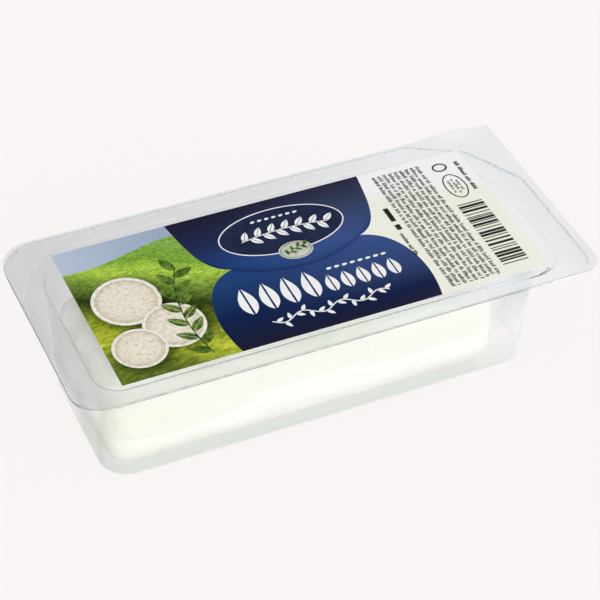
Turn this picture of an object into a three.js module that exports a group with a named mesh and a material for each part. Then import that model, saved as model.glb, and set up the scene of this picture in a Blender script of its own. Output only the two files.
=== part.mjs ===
// A sealed retail pack of one fresh goat cheese log, in millimetres.
// X runs along the pack, Y to its far side and Z up from the floor.
// The origin is under the middle of the pack.
// A clear thermoformed tray holds the log. A clear lidding film closes the tray,
// reaches past its cut far right corner as a square peel tab, and carries the print.
import * as THREE from 'three';

// Film and tray, seen from above.
const PACK_LENGTH = 135;
const PACK_WIDTH = 61;
const RIGHT_OVERHANG = 1.8;
const CUT_REACH = 23;
const CUT_INSET = 8.2;

// Heights.
const TRAY_HEIGHT = 31.4;
const TRAY_WALL = 0.5;
const STEP_DEPTH = 2.2;
const FILM_THICKNESS = 0.2;
const PRINT_THICKNESS = 0.1;
const LAYER_GAP = 0.1;

// Width of the flat flange, from its edge in to the step, on each side.
const FLANGE = { left: 7.1, front: 5.2, right: 5.5, back: 4.6, cut: 5.4 };

// Width of the ledge at the foot of the step, which is wide at the right end only.
const LEDGE = { left: 0.4, front: 0.1, right: 3.8, back: 0.2, cut: 3.6 };

// The lip where the ledge rolls over into the pocket, and how far down it reaches.
const LIP = { left: 0.5, front: 0.1, right: 2.3, back: 0.3, cut: 2.3 };
const LIP_HEIGHT = 2.3;

// How far each wall of the pocket leans in on its way down.
const DRAFT = { left: 0.5, front: 1.3, right: 0.4, back: 1.6, cut: 0.6 };

// Corner roundings, seen from above, and the rounding along the bottom edge.
const FLANGE_CORNERS = { nearLeft: 7, nearRight: 6, cut: 3, farLeft: 8.5 };
const STEP_CORNERS = { nearLeft: 6.5, nearRight: 6.5, cut: 5, farLeft: 14 };
const POCKET_CORNERS = { nearLeft: 7.2, nearRight: 7.2, cut: 7.2, farLeft: 13 };
const BOTTOM_ROUNDING = 1;

// Steps in each rounding.
const CORNER_STEPS = 8;
const CUT_STEPS = 4;
const LIP_STEPS = 3;
const BOTTOM_STEPS = 4;

// Peel tab: the lift of the film's back edge between the cut and the corner.
const FILM_CORNERS = { nearLeft: 7, nearRight: 5, farRight: 0.8, farLeft: 8.5 };
const TAB_LIFT = 1.1;
const TAB_DEPTH = 7;
const TAB_STEPS = 10;

// Cheese log, and where it lies in the pocket.
const LOG_LEFT = -57.8;
const LOG_RIGHT = 43.6;
const LOG_FRONT = -23.5;
const LOG_BACK = 18.2;
const LOG_HEIGHT = 27;
const LOG_CLEARANCE = 0.3;
const LOG_BOTTOM_ROUNDING = 7;
const LOG_TOP_ROUNDING = 11;
const LOG_END_ROUNDING = 5.5;
const LOG_END_STEPS = 6;
const LOG_CORNER_STEPS = 8;

// Printed fields on the film.
const FIELD_LEFT = -55.4;
const FIELD_RIGHT = 55;
const FIELD_FRONT = -25.1;
const FIELD_BACK = 23.2;
const FIELD_GAP = 0.3;
const CURVE_STEPS = 14;

// The blue field is a bowl over a dome. Its right edge runs from the top through the
// waist to the foot, and the bends are what the two curved stretches aim at.
const BLUE_TOP_HALF = 26.2;
const BLUE_WAIST = { half: 17.1, y: 2.1 };
const BLUE_FOOT_HALF = 25.8;
const BOWL_BENDS = [{ half: 24.6, y: 13.2 }, { half: 23.8, y: 4.3 }];
const DOME_BENDS = [{ half: 26.2, y: 0.1 }, { half: 29.2, y: -12.9 }];

const QUARTER = Math.PI / 2;

function makeMaterial(color, roughness, opacity = 1) {
  return new THREE.MeshStandardMaterial({
    color,
    roughness,
    metalness: 0,
    transparent: opacity < 1,
    opacity,
  });
}

// A straight side of an outline: all points p with normal . p = distance.
function makeSide(angle, distance) {
  return { angle, normal: new THREE.Vector2(Math.cos(angle), Math.sin(angle)), distance };
}

function meetingPoint(first, second) {
  const determinant = first.normal.x * second.normal.y - first.normal.y * second.normal.x;
  return new THREE.Vector2(
    (first.distance * second.normal.y - second.distance * first.normal.y) / determinant,
    (first.normal.x * second.distance - second.normal.x * first.distance) / determinant,
  );
}

// Points along the rounding where one side turns into the next.
function roundedCorner(first, second, radius, steps) {
  const inner = meetingPoint(
    makeSide(first.angle, first.distance - radius),
    makeSide(second.angle, second.distance - radius),
  );
  const points = [];
  for (let step = 0; step <= steps; step += 1) {
    const angle = THREE.MathUtils.lerp(first.angle, second.angle, step / steps);
    points.push(new THREE.Vector2(
      inner.x + radius * Math.cos(angle),
      inner.y + radius * Math.sin(angle),
    ));
  }
  return points;
}

// The six sides of the flange, from the front round to the left: two of them cut
// the far right corner off.
function flangeSides() {
  const halfLength = PACK_LENGTH / 2;
  const right = halfLength - RIGHT_OVERHANG;
  const back = PACK_WIDTH / 2;
  const bend = new THREE.Vector2(right - CUT_INSET, back - CUT_INSET);
  const lean = Math.atan2(CUT_INSET, CUT_REACH - CUT_INSET);
  const cutAngles = { lower: lean, upper: QUARTER - lean };
  const lowerNormal = new THREE.Vector2(Math.cos(cutAngles.lower), Math.sin(cutAngles.lower));
  const upperNormal = new THREE.Vector2(Math.cos(cutAngles.upper), Math.sin(cutAngles.upper));
  return {
    front: makeSide(-QUARTER, PACK_WIDTH / 2),
    right: makeSide(0, right),
    lowerCut: makeSide(cutAngles.lower, lowerNormal.dot(bend)),
    upperCut: makeSide(cutAngles.upper, upperNormal.dot(bend)),
    back: makeSide(QUARTER, back),
    left: makeSide(2 * QUARTER, halfLength),
  };
}

// The same six sides, each moved in by its own amount.
function movedIn(sides, inset) {
  const shift = (side, amount) => makeSide(side.angle, side.distance - amount);
  return {
    front: shift(sides.front, inset.front),
    right: shift(sides.right, inset.right),
    lowerCut: shift(sides.lowerCut, inset.cut),
    upperCut: shift(sides.upperCut, inset.cut),
    back: shift(sides.back, inset.back),
    left: shift(sides.left, inset.left),
  };
}

function evenInset(amount) {
  return { left: amount, front: amount, right: amount, back: amount, cut: amount };
}

function scaledInset(inset, factor) {
  return {
    left: inset.left * factor,
    front: inset.front * factor,
    right: inset.right * factor,
    back: inset.back * factor,
    cut: inset.cut * factor,
  };
}

// A closed outline at one height, anticlockwise from above. `trim` shortens the radii
// where the outline has moved in by a wall or by the bottom rounding.
function outlineAt(sides, corners, z, trim = 0) {
  const start = makeSide(-2 * QUARTER, sides.left.distance);
  const outline = [
    ...roundedCorner(start, sides.front, corners.nearLeft - trim, CORNER_STEPS),
    ...roundedCorner(sides.front, sides.right, corners.nearRight - trim, CORNER_STEPS),
    ...roundedCorner(sides.right, sides.lowerCut, corners.cut, CUT_STEPS),
    ...roundedCorner(sides.lowerCut, sides.upperCut, corners.cut, CUT_STEPS),
    ...roundedCorner(sides.upperCut, sides.back, corners.cut, CUT_STEPS),
    ...roundedCorner(sides.back, sides.left, corners.farLeft - trim, CORNER_STEPS),
  ];
  return outline.map((point) => new THREE.Vector3(point.x, point.y, z));
}

// Joins a list of outlines with equal point counts into one closed body. The first
// and the last outline are closed by a fan of triangles to their middle.
function skinOutlines(outlines) {
  const count = outlines[0].length;
  const positions = [];
  const indices = [];
  for (const outline of outlines) {
    for (const point of outline) {
      positions.push(point.x, point.y, point.z);
    }
  }
  for (let row = 0; row < outlines.length - 1; row += 1) {
    for (let column = 0; column < count; column += 1) {
      const next = (column + 1) % count;
      const a = row * count + column;
      const b = row * count + next;
      const c = (row + 1) * count + next;
      const d = (row + 1) * count + column;
      indices.push(a, b, c, a, c, d);
    }
  }
  for (const row of [0, outlines.length - 1]) {
    const middle = new THREE.Vector3();
    outlines[row].forEach((point) => middle.addScaledVector(point, 1 / count));
    const hub = positions.length / 3;
    positions.push(middle.x, middle.y, middle.z);
    for (let column = 0; column < count; column += 1) {
      const a = row * count + column;
      const b = row * count + ((column + 1) % count);
      if (row === 0) {
        indices.push(hub, b, a);
      } else {
        indices.push(hub, a, b);
      }
    }
  }
  const geometry = new THREE.BufferGeometry();
  geometry.setAttribute('position', new THREE.Float32BufferAttribute(positions, 3));
  geometry.setIndex(indices);
  geometry.computeVertexNormals();
  return geometry;
}

// One face of the pocket, from its bottom up to the ledge. The inner face is the
// outer one moved in by the wall.
function pocketOutlines(ledgeSides, ledgeHeight, wall) {
  const outlines = [];
  const rounding = BOTTOM_ROUNDING - wall;
  const wallTop = movedIn(ledgeSides, LIP);
  const wallTopHeight = ledgeHeight - LIP_HEIGHT;
  for (let step = 0; step <= BOTTOM_STEPS; step += 1) {
    const angle = QUARTER * step / BOTTOM_STEPS;
    const z = wall + rounding * (1 - Math.cos(angle));
    const inset = wall + rounding * (1 - Math.sin(angle));
    const lean = scaledInset(DRAFT, 1 - z / wallTopHeight);
    const sides = movedIn(movedIn(wallTop, lean), evenInset(inset));
    outlines.push(outlineAt(sides, POCKET_CORNERS, z, inset));
  }
  for (let step = 0; step <= LIP_STEPS; step += 1) {
    const angle = QUARTER * (1 - step / LIP_STEPS);
    const roll = scaledInset(LIP, Math.sin(angle));
    const sides = movedIn(movedIn(ledgeSides, roll), evenInset(wall));
    const z = ledgeHeight - LIP_HEIGHT * (1 - Math.cos(angle));
    outlines.push(outlineAt(sides, POCKET_CORNERS, z, wall));
  }
  return outlines;
}

function makeTray() {
  const flange = flangeSides();
  const step = movedIn(flange, FLANGE);
  const ledge = movedIn(step, LEDGE);
  const ledgeTop = TRAY_HEIGHT - STEP_DEPTH;
  const ledgeUnder = ledgeTop - TRAY_WALL;
  const flangeUnder = TRAY_HEIGHT - TRAY_WALL;
  const stepInside = movedIn(step, evenInset(TRAY_WALL));
  const outlines = [
    ...pocketOutlines(ledge, ledgeUnder, 0),
    outlineAt(step, STEP_CORNERS, ledgeUnder),
    outlineAt(step, STEP_CORNERS, flangeUnder),
    outlineAt(flange, FLANGE_CORNERS, flangeUnder),
    outlineAt(flange, FLANGE_CORNERS, TRAY_HEIGHT),
    outlineAt(stepInside, STEP_CORNERS, TRAY_HEIGHT, TRAY_WALL),
    outlineAt(stepInside, STEP_CORNERS, ledgeTop, TRAY_WALL),
    ...pocketOutlines(ledge, ledgeTop, TRAY_WALL).reverse(),
  ];
  return new THREE.Mesh(skinOutlines(outlines), makeMaterial('#dde3e2', 0.12, 0.35));
}

// The film's outline. Its back edge rises by `lift` in an arch over the tab.
function filmOutline(inset, z, lift) {
  const halfLength = PACK_LENGTH / 2 - inset;
  const halfWidth = PACK_WIDTH / 2 - inset;
  const sides = {
    front: makeSide(-QUARTER, halfWidth),
    right: makeSide(0, halfLength),
    back: makeSide(QUARTER, halfWidth),
    left: makeSide(2 * QUARTER, halfLength),
  };
  const start = makeSide(-2 * QUARTER, halfLength);
  const flat = (point) => new THREE.Vector3(point.x, point.y, z);
  const outline = [
    ...roundedCorner(start, sides.front, FILM_CORNERS.nearLeft, CORNER_STEPS),
    ...roundedCorner(sides.front, sides.right, FILM_CORNERS.nearRight, CORNER_STEPS),
    ...roundedCorner(sides.right, sides.back, FILM_CORNERS.farRight, CUT_STEPS),
  ].map(flat);
  const tabEnd = outline[outline.length - 1].x;
  const tabStart = halfLength - CUT_REACH;
  for (let step = 1; step <= TAB_STEPS; step += 1) {
    const share = step / TAB_STEPS;
    const rise = lift * Math.sin(Math.PI * share) ** 2;
    const x = THREE.MathUtils.lerp(tabEnd, tabStart, share);
    outline.push(new THREE.Vector3(x, halfWidth, z + rise));
  }
  const farLeft = roundedCorner(sides.back, sides.left, FILM_CORNERS.farLeft, CORNER_STEPS);
  outline.push(...farLeft.map(flat));
  return outline;
}

function makeFilm() {
  const under = TRAY_HEIGHT + LAYER_GAP;
  const top = under + FILM_THICKNESS;
  const outlines = [
    filmOutline(TAB_DEPTH, under, 0),
    filmOutline(0, under, TAB_LIFT),
    filmOutline(0, top, TAB_LIFT),
    filmOutline(TAB_DEPTH, top, 0),
  ];
  return new THREE.Mesh(skinOutlines(outlines), makeMaterial('#e8ecec', 0.08, 0.35));
}

// The log's section is a rounded bar. Towards each end it shrinks along a quarter
// circle, which rounds the end's edge.
function logSection(x, shrink) {
  const bottom = TRAY_WALL + LOG_CLEARANCE + shrink;
  const top = TRAY_WALL + LOG_CLEARANCE + LOG_HEIGHT - shrink;
  const front = LOG_FRONT + shrink;
  const back = LOG_BACK - shrink;
  const sides = [
    makeSide(-QUARTER, -bottom),
    makeSide(0, back),
    makeSide(QUARTER, top),
    makeSide(2 * QUARTER, -front),
  ];
  const start = makeSide(-2 * QUARTER, -front);
  const lower = LOG_BOTTOM_ROUNDING - shrink;
  const upper = LOG_TOP_ROUNDING - shrink;
  const outline = [
    ...roundedCorner(start, sides[0], lower, LOG_CORNER_STEPS),
    ...roundedCorner(sides[0], sides[1], lower, LOG_CORNER_STEPS),
    ...roundedCorner(sides[1], sides[2], upper, LOG_CORNER_STEPS),
    ...roundedCorner(sides[2], sides[3], upper, LOG_CORNER_STEPS),
  ];
  return outline.map((point) => new THREE.Vector3(x, point.x, point.y));
}

function makeLog() {
  const sections = [];
  const ends = [{ x: LOG_LEFT, way: 1 }, { x: LOG_RIGHT, way: -1 }];
  for (const end of ends) {
    const row = [];
    for (let step = 0; step <= LOG_END_STEPS; step += 1) {
      const angle = QUARTER * step / LOG_END_STEPS;
      const x = end.x + end.way * LOG_END_ROUNDING * (1 - Math.cos(angle));
      row.push(logSection(x, LOG_END_ROUNDING * (1 - Math.sin(angle))));
    }
    sections.push(...(end.way > 0 ? row : row.reverse()));
  }
  return new THREE.Mesh(skinOutlines(sections), makeMaterial('#f6f4ea', 0.75));
}

// One edge of the blue field, from its top to its foot. `side` is 1 for the right edge
// and -1 for the left one, and `shift` moves the edge outwards.
function blueEdge(side, shift) {
  const at = (point) => new THREE.Vector2(side * (point.half + shift), point.y);
  const top = at({ half: BLUE_TOP_HALF, y: FIELD_BACK });
  const foot = at({ half: BLUE_FOOT_HALF, y: FIELD_FRONT });
  const waist = at(BLUE_WAIST);
  const bowl = new THREE.CubicBezierCurve(top, ...BOWL_BENDS.map(at), waist);
  const dome = new THREE.CubicBezierCurve(waist, ...DOME_BENDS.map(at), foot);
  return [...bowl.getPoints(CURVE_STEPS), ...dome.getPoints(CURVE_STEPS).slice(1)];
}

function printedField(points, color) {
  const shape = new THREE.Shape(points);
  const geometry = new THREE.ExtrudeGeometry(shape, { depth: PRINT_THICKNESS, bevelEnabled: false });
  const mesh = new THREE.Mesh(geometry, makeMaterial(color, 0.3));
  mesh.position.z = TRAY_HEIGHT + FILM_THICKNESS + 2 * LAYER_GAP;
  return mesh;
}

function makeBlueField() {
  return printedField([...blueEdge(1, 0).reverse(), ...blueEdge(-1, 0)], '#22417f');
}

function makeMeadowField() {
  const edge = blueEdge(-1, FIELD_GAP);
  const corners = [
    new THREE.Vector2(FIELD_LEFT, FIELD_BACK),
    new THREE.Vector2(FIELD_LEFT, FIELD_FRONT),
  ];
  return printedField([...edge.reverse(), ...corners], '#6f9a2c');
}

function makeCreamField() {
  const edge = blueEdge(1, FIELD_GAP);
  const corners = [
    new THREE.Vector2(FIELD_RIGHT, FIELD_FRONT),
    new THREE.Vector2(FIELD_RIGHT, FIELD_BACK),
  ];
  return printedField([...edge, ...corners], '#ebeadc');
}

const group = new THREE.Group();
const pieces = {
  tray: makeTray(),
  cheese_log: makeLog(),
  lidding_film: makeFilm(),
  print_meadow_field: makeMeadowField(),
  print_blue_field: makeBlueField(),
  print_cream_field: makeCreamField(),
};
for (const [name, mesh] of Object.entries(pieces)) {
  mesh.name = name;
  group.add(mesh);
}

export default group;
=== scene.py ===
"""Looks of a sealed retail pack that holds one log of fresh goat cheese.

Lengths are metres. X runs along the pack, Y to its far side and Z up from the floor.
"""
import math

import bpy
import numpy as np
from mathutils import Matrix, Vector


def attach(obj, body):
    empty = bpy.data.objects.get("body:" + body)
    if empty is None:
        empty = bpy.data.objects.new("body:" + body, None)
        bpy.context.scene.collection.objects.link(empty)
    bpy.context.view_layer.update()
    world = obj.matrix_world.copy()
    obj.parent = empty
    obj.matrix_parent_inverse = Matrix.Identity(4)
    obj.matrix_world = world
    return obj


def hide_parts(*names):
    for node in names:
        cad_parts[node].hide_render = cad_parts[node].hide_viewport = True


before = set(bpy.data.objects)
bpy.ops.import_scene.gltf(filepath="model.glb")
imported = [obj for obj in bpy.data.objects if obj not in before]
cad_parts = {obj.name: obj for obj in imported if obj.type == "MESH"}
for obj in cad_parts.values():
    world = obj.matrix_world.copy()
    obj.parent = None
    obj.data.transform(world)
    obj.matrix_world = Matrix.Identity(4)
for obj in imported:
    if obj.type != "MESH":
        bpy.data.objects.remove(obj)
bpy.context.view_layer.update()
MM = 0.001
scene = bpy.context.scene

# Camera
# It stands at the photo's viewpoint, in front of the pack and to its left, and looks
# down on it through a long lens. Its place was worked out from the film's edges.
CAMERA_PLACE = Vector((-0.1672, -0.3402, 0.3592))
CAMERA_TURN = math.radians(26.24)
CAMERA_DOWN = math.radians(41.99)
CAMERA_ROLL = math.radians(2.66)
CAMERA_LENS = 124.2
CAMERA_SENSOR = 36.0
CAMERA_NEAR = 0.01


def camera_pose(place, turn, down, roll):
    """The camera looks along a line turned from +Y towards +X and tipped down. Its
    right-hand side is level first, and is then turned about that line by the roll."""
    ahead = Vector((
        math.sin(turn) * math.cos(down),
        math.cos(turn) * math.cos(down),
        -math.sin(down),
    ))
    level = ahead.cross(Vector((0, 0, 1))).normalized()
    upright = level.cross(ahead)
    right = level * math.cos(roll) + upright * math.sin(roll)
    above = right.cross(ahead)
    pose = Matrix((right, above, -ahead)).transposed().to_4x4()
    pose.translation = place
    return pose


camera_data = bpy.data.cameras.new("camera")
camera_data.lens = CAMERA_LENS
camera_data.sensor_width = CAMERA_SENSOR
camera_data.clip_start = CAMERA_NEAR
camera = bpy.data.objects.new("camera", camera_data)
camera.matrix_world = camera_pose(CAMERA_PLACE, CAMERA_TURN, CAMERA_DOWN, CAMERA_ROLL)
scene.collection.objects.link(camera)
scene.camera = camera
scene.view_settings.view_transform = "Standard"

# Floor and light
# A plain pale sweep that is lit from below as well, as on a light table, so that the
# pack throws almost no shadow. The room is bright all round but for a dark patch above
# the far left, which the glossy film mirrors. A wide lamp stands at the near right.
FLOOR_HALF = 3.0
FLOOR_DROP = 0.05 * MM
FLOOR_GLOW = (0.848, 0.817, 0.81)
FLOOR_PAINT = (0.1, 0.1, 0.1)
DARK_PATCH = Vector((0.065, 0.741, 0.669))
PATCH_EDGE = math.cos(math.radians(31))
PATCH_CORE = math.cos(math.radians(17))
PATCH_LIGHT = 0.02
LAMP_STRENGTH = 0.9
LAMP_SPREAD = math.radians(50)
LAMP_WAY = Vector((-0.3, 0.88, -0.36))
CLEAR_BOUNCES = 32
GLOSSY_BOUNCES = 24
DIFFUSE_BOUNCES = 4


def link(tree, value, entry):
    """Joins a node's output to an input, or gives the input a fixed value."""
    if isinstance(value, bpy.types.NodeSocket):
        tree.links.new(value, entry)
    else:
        entry.default_value = value


def new_material(name):
    """An empty node material, with its tree and its output's surface socket."""
    material = bpy.data.materials.new(name)
    material.use_nodes = True
    tree = material.node_tree
    tree.nodes.remove(tree.nodes["Principled BSDF"])
    return material, tree, tree.nodes["Material Output"].inputs["Surface"]


def add_node(tree, kind, **settings):
    """A new shader node. Settings that it has as properties are set there, and the others
    are inputs, with spaces written as underscores."""
    node = tree.nodes.new("ShaderNode" + kind)
    for key, value in settings.items():
        if hasattr(node, key):
            setattr(node, key, value)
        else:
            link(tree, value, node.inputs[key.replace("_", " ")])
    return node


def floor_material():
    """A matt pale surface that glows evenly."""
    material, tree, surface = new_material("light_table")
    paint = add_node(tree, "BsdfDiffuse", Color=(*FLOOR_PAINT, 1))
    glow = add_node(tree, "Emission", Color=(*FLOOR_GLOW, 1))
    both = add_node(tree, "AddShader")
    link(tree, paint.outputs[0], both.inputs[0])
    link(tree, glow.outputs[0], both.inputs[1])
    link(tree, both.outputs[0], surface)
    return material


def floor_mesh():
    """A flat square: x and y run from minus to plus the half size, a hair under nought."""
    corners = np.array([[-1, -1, 0], [1, -1, 0], [1, 1, 0], [-1, 1, 0]]) * FLOOR_HALF
    corners[:, 2] = -FLOOR_DROP
    mesh = bpy.data.meshes.new("floor")
    mesh.from_pydata(corners.tolist(), [], [[0, 1, 2, 3]])
    mesh.materials.append(floor_material())
    return mesh


floor = bpy.data.objects.new("floor", floor_mesh())
scene.collection.objects.link(floor)


def pair_of(tree, operation, first, second, **settings):
    """One maths node's result for two values."""
    node = add_node(tree, "Math", operation=operation, **settings)
    link(tree, first, node.inputs[0])
    link(tree, second, node.inputs[1])
    return node.outputs[0]


def smooth_share(tree, value, low, high, start=0.0, end=1.0):
    """The start below low and the end above high, with a smooth step between."""
    step = add_node(tree, "MapRange", interpolation_type="SMOOTHSTEP", Value=value,
                    From_Min=low, From_Max=high, To_Min=start, To_Max=end)
    return step.outputs["Result"]


def room_light():
    """The room's light by direction: one all round, and falling to almost nothing where
    the direction comes close to the dark patch's middle. Only what mirrors the room from
    outside sees the patch, and light that has gone through a clear sheet doesn't."""
    world = bpy.data.worlds.new("studio")
    world.use_nodes = True
    tree = world.node_tree
    background = tree.nodes["Background"]
    background.inputs["Color"].default_value = (1, 1, 1, 1)
    place = add_node(tree, "TexCoord")
    near = add_node(tree, "VectorMath", operation="DOT_PRODUCT")
    link(tree, DARK_PATCH.normalized(), near.inputs[1])
    link(tree, place.outputs["Generated"], near.inputs[0])
    light = smooth_share(tree, near.outputs["Value"], PATCH_EDGE, PATCH_CORE, 1.0, PATCH_LIGHT)
    depth = add_node(tree, "LightPath").outputs["Transmission Depth"]
    strength = pair_of(tree, "MAXIMUM", light, depth, use_clamp=True)
    link(tree, strength, background.inputs["Strength"])
    return world


scene.world = room_light()
scene.cycles.max_bounces = CLEAR_BOUNCES
scene.cycles.transmission_bounces = CLEAR_BOUNCES
scene.cycles.transparent_max_bounces = CLEAR_BOUNCES
scene.cycles.glossy_bounces = GLOSSY_BOUNCES
scene.cycles.diffuse_bounces = DIFFUSE_BOUNCES

lamp_data = bpy.data.lights.new("near_lamp", "SUN")
lamp_data.energy = LAMP_STRENGTH
lamp_data.angle = LAMP_SPREAD
lamp = bpy.data.objects.new("near_lamp", lamp_data)
lamp.rotation_euler = LAMP_WAY.to_track_quat("-Z", "Y").to_euler()
scene.collection.objects.link(lamp)

# Tray
# One thin clear sheet, drawn down warm into a mould: a wide flange, a shallow step, a
# ledge that is wide at the right end only, and a pocket with nearly upright walls. The
# far right corner is cut off in two facets. Sides run from the front round to the left.
PACK_HALF_LENGTH = 67.5 * MM
PACK_HALF_WIDTH = 30.5 * MM
TRAY_RIGHT = 65.7 * MM
CUT_REACH = 23 * MM
CUT_INSET = 8.2 * MM
TRAY_SHEET = 0.25 * MM
EDGE_TURN = 0.15 * MM
RIM_INSETS = np.array([0.26, 0.26, 0.26, 0.26, 0.6, 0.26]) * MM
FLANGE_UNDER = 31.05 * MM
LEDGE_UNDER = 28.7 * MM
STEP_BENDS = np.array([1.2, 0.7, 0.7, 0.7, 0.9, 1.5]) * MM
STEP_DROP = 1.2 * MM
FOOT_BEND = 0.4 * MM
LEDGE_FALL = 0.15 * MM
LIP_HEIGHT = 2.3 * MM
BOTTOM_BEND = 1.0 * MM
FLANGE_WIDTHS = np.array([5.2, 5.5, 5.4, 5.4, 4.6, 7.1]) * MM
LEDGE_WIDTHS = np.array([0.1, 3.8, 3.6, 3.6, 0.2, 0.4]) * MM
LIP_WIDTHS = np.array([0.1, 2.3, 2.3, 2.3, 0.3, 0.5]) * MM
DRAFTS = np.array([1.3, 0.4, 0.6, 0.6, 1.6, 0.5]) * MM
FLANGE_CORNERS = np.array([6, 3, 3, 3, 8.5, 7]) * MM
STEP_CORNERS = np.array([6.5, 5, 5, 5, 14, 6.5]) * MM
POCKET_CORNERS = np.array([7.2, 7.2, 7.2, 7.2, 13, 7.2]) * MM
CUT_LEAN = math.atan2(CUT_INSET, CUT_REACH - CUT_INSET)
SIDE_ANGLES = np.array([
    -math.pi / 2, 0, CUT_LEAN, math.pi / 2 - CUT_LEAN, math.pi / 2, math.pi])
LEAST_CORNER = 2 * MM
NARROW_LEDGE = 1 * MM
BEND_POINTS = 7
FLANGE_ROWS = 4
WALL_ROWS = 5
FLOOR_RINGS = np.array([0.6, 0.2])
TRAY_SHADE = (0.98, 0.982, 0.982)
TRAY_WAVES = 0.1
CLEAR = (1, 1, 1)
TRAY_SLANT_TINTS = [(0.36, CLEAR), (0.7, (0.99, 0.995, 0.995)), (0.95, (0.95, 0.957, 0.957))]
# Painted shade: the tray greyer round the left end and along the back, by X near the front and at
# the back.
TRAY_FRONT_TINTS_AND_SHADE = [
    (-61, (0.925, 0.935, 0.94)), (-54, (0.98, 0.985, 0.98)), (50, CLEAR),
    (59, (0.98, 0.99, 0.997)), (61, (0.955, 0.962, 0.968))]
TRAY_BACK_TINTS_AND_SHADE = [
    (-60, (0.845, 0.858, 0.862)), (-45, (0.862, 0.87, 0.877)), (-20, (0.908, 0.914, 0.918)),
    (30, (0.955, 0.963, 0.97)), (45, (0.98, 0.99, 0.997)), (59, (0.98, 0.99, 0.997)),
    (61, (0.957, 0.967, 0.973))]
TRAY_FRONT_TO_BACK = (-24, 22)
# Painted shade: darker and greener low on the wall and on the bottom's front, where the log shades
# the tray, and a little darker near the wall's top.
WALL_SHADE_TINTS = [
    (0.3, CLEAR), (0.6, (0.895, 0.93, 0.905)), (3.2, (0.94, 0.965, 0.95)),
    (5.5, (0.975, 0.982, 0.977)), (14, CLEAR), (27, (0.985, 0.99, 0.985)), (29.5, CLEAR)]
TRAY_FLOOR_SHADE_TINTS = [(-20, (0.93, 0.96, 0.94)), (-14, CLEAR)]
FLOOR_TO_WALL = (0.3, 0.5)
# Painted shade low on the left wall and high at the right end, and painted light high at the left:
# each patch's tints by X, its share by Z and its share by Y.
LOW_LEFT_SHADE_TINTS = [
    (-59.6, (0.69, 0.69, 0.675)), (-59, (0.74, 0.74, 0.725)), (-58.2, (0.93, 0.93, 0.91)),
    (-55.5, (0.985, 0.985, 0.97)), (-53, CLEAR)]
HIGH_LEFT_LIGHT_TINTS = [(-59, (1.06, 1.06, 1.065)), (-57, CLEAR)]
HIGH_RIGHT_SHADE_TINTS = [(40.5, CLEAR), (43.5, (0.84, 0.875, 0.88))]
WALL_SHADING_PATCHES = [
    (LOW_LEFT_SHADE_TINTS, [(0.3, 0), (0.6, 1), (11, 1), (17, 0)], [(-24, 0), (-19, 1), (-7, 1), (1, 0)]),
    (HIGH_LEFT_LIGHT_TINTS, [(10, 0), (14, 1), (26, 1), (28, 0)], [(-7, 0), (-2, 1)]),
    (HIGH_RIGHT_SHADE_TINTS, [(13, 0), (23, 1), (25, 1), (26.4, 0)], [(-31, 1), (31, 1)]),
]
EDGE_GREYS = [(0.35, (0.2, 0.22, 0.23)), (0.65, (0.34, 0.37, 0.38))]
# Painted light and shade on the cut edge: factors by Y and by X, paler at the back and the right
# end, darkest at the left end.
EDGE_SHADING_ACROSS = [
    (-30.2, (1.4, 1.4, 1.38)), (-27, CLEAR), (20, CLEAR), (27, (2.4, 2.4, 2.4)),
    (29.5, (3.6, 3.6, 3.6))]
EDGE_SHADING_ALONG = [
    (-67, (1.3, 1.3, 1.32)), (-65, (2.1, 2.1, 2.1)), (-58, (1.6, 1.6, 1.6)),
    (-50, (1.1, 1.1, 1.1)), (45, (1.1, 1.1, 1.1)), (58, (3.0, 3.0, 3.0)), (66, (3.6, 3.6, 3.6))]
EDGE_PALEST = (0.93, 0.94, 0.95)


def rounded_loops(angles, distances, radii, arc_steps=10, straight_steps=4):
    """Loops round polygons with rounded corners. Side k holds the points p with
    p . (cos a, sin a) = d. A corner's arc is centred where its two sides, moved in by its
    radius, meet, and turns from one side's angle to the next. Straight stretches between
    two arcs are cut evenly. One row of distances and radii gives one loop."""
    turned = np.append(angles[1:], angles[0] + 2 * math.pi)
    first = distances - radii
    second = np.roll(distances, -1, axis=1) - radii
    crossing = np.sin(turned - angles)
    centre_x = (first * np.sin(turned) - second * np.sin(angles)) / crossing
    centre_y = (second * np.cos(angles) - first * np.cos(turned)) / crossing
    turn = angles[:, None] + (turned - angles)[:, None] * np.linspace(0, 1, arc_steps + 1)
    arc_x = centre_x[..., None] + radii[..., None] * np.cos(turn)
    arc_y = centre_y[..., None] + radii[..., None] * np.sin(turn)
    arcs = np.stack([arc_x, arc_y], axis=-1)
    start = arcs[:, :, -1:, :]
    end = np.roll(arcs[:, :, :1, :], -1, axis=1)
    share = (np.arange(1, straight_steps) / straight_steps)[:, None]
    straights = start + (end - start) * share
    return np.concatenate([arcs, straights], axis=2).reshape(len(distances), -1, 2)


def loop_faces(rows, columns):
    """Quads between neighbouring loops, closed round, as four point numbers each."""
    row = np.arange(rows - 1)[:, None] * columns
    here = row + np.arange(columns)
    beside = row + (np.arange(columns) + 1) % columns
    return np.stack([here, beside, beside + columns, here + columns], axis=-1).reshape(-1, 4)


def boundary_edges(mesh):
    """True for each edge that only one face uses."""
    uses = np.empty(len(mesh.loops), dtype=np.int32)
    mesh.loops.foreach_get("edge_index", uses)
    return np.bincount(uses, minlength=len(mesh.edges)) < 2


def add_piece(name, points, faces, *materials, smooth=True):
    """A mesh object at the origin, riding on the pack. Its open edges stay sharp."""
    mesh = bpy.data.meshes.new(name)
    mesh.from_pydata(points.reshape(-1, 3), [], faces)
    for material in materials:
        mesh.materials.append(material)
    if smooth:
        mesh.shade_smooth()
        sharp = mesh.attributes.new("sharp_edge", "BOOLEAN", "EDGE")
        sharp.data.foreach_set("value", boundary_edges(mesh))
    mesh.update()
    piece = bpy.data.objects.new(name, mesh)
    scene.collection.objects.link(piece)
    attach(piece, "root")
    return piece


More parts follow.
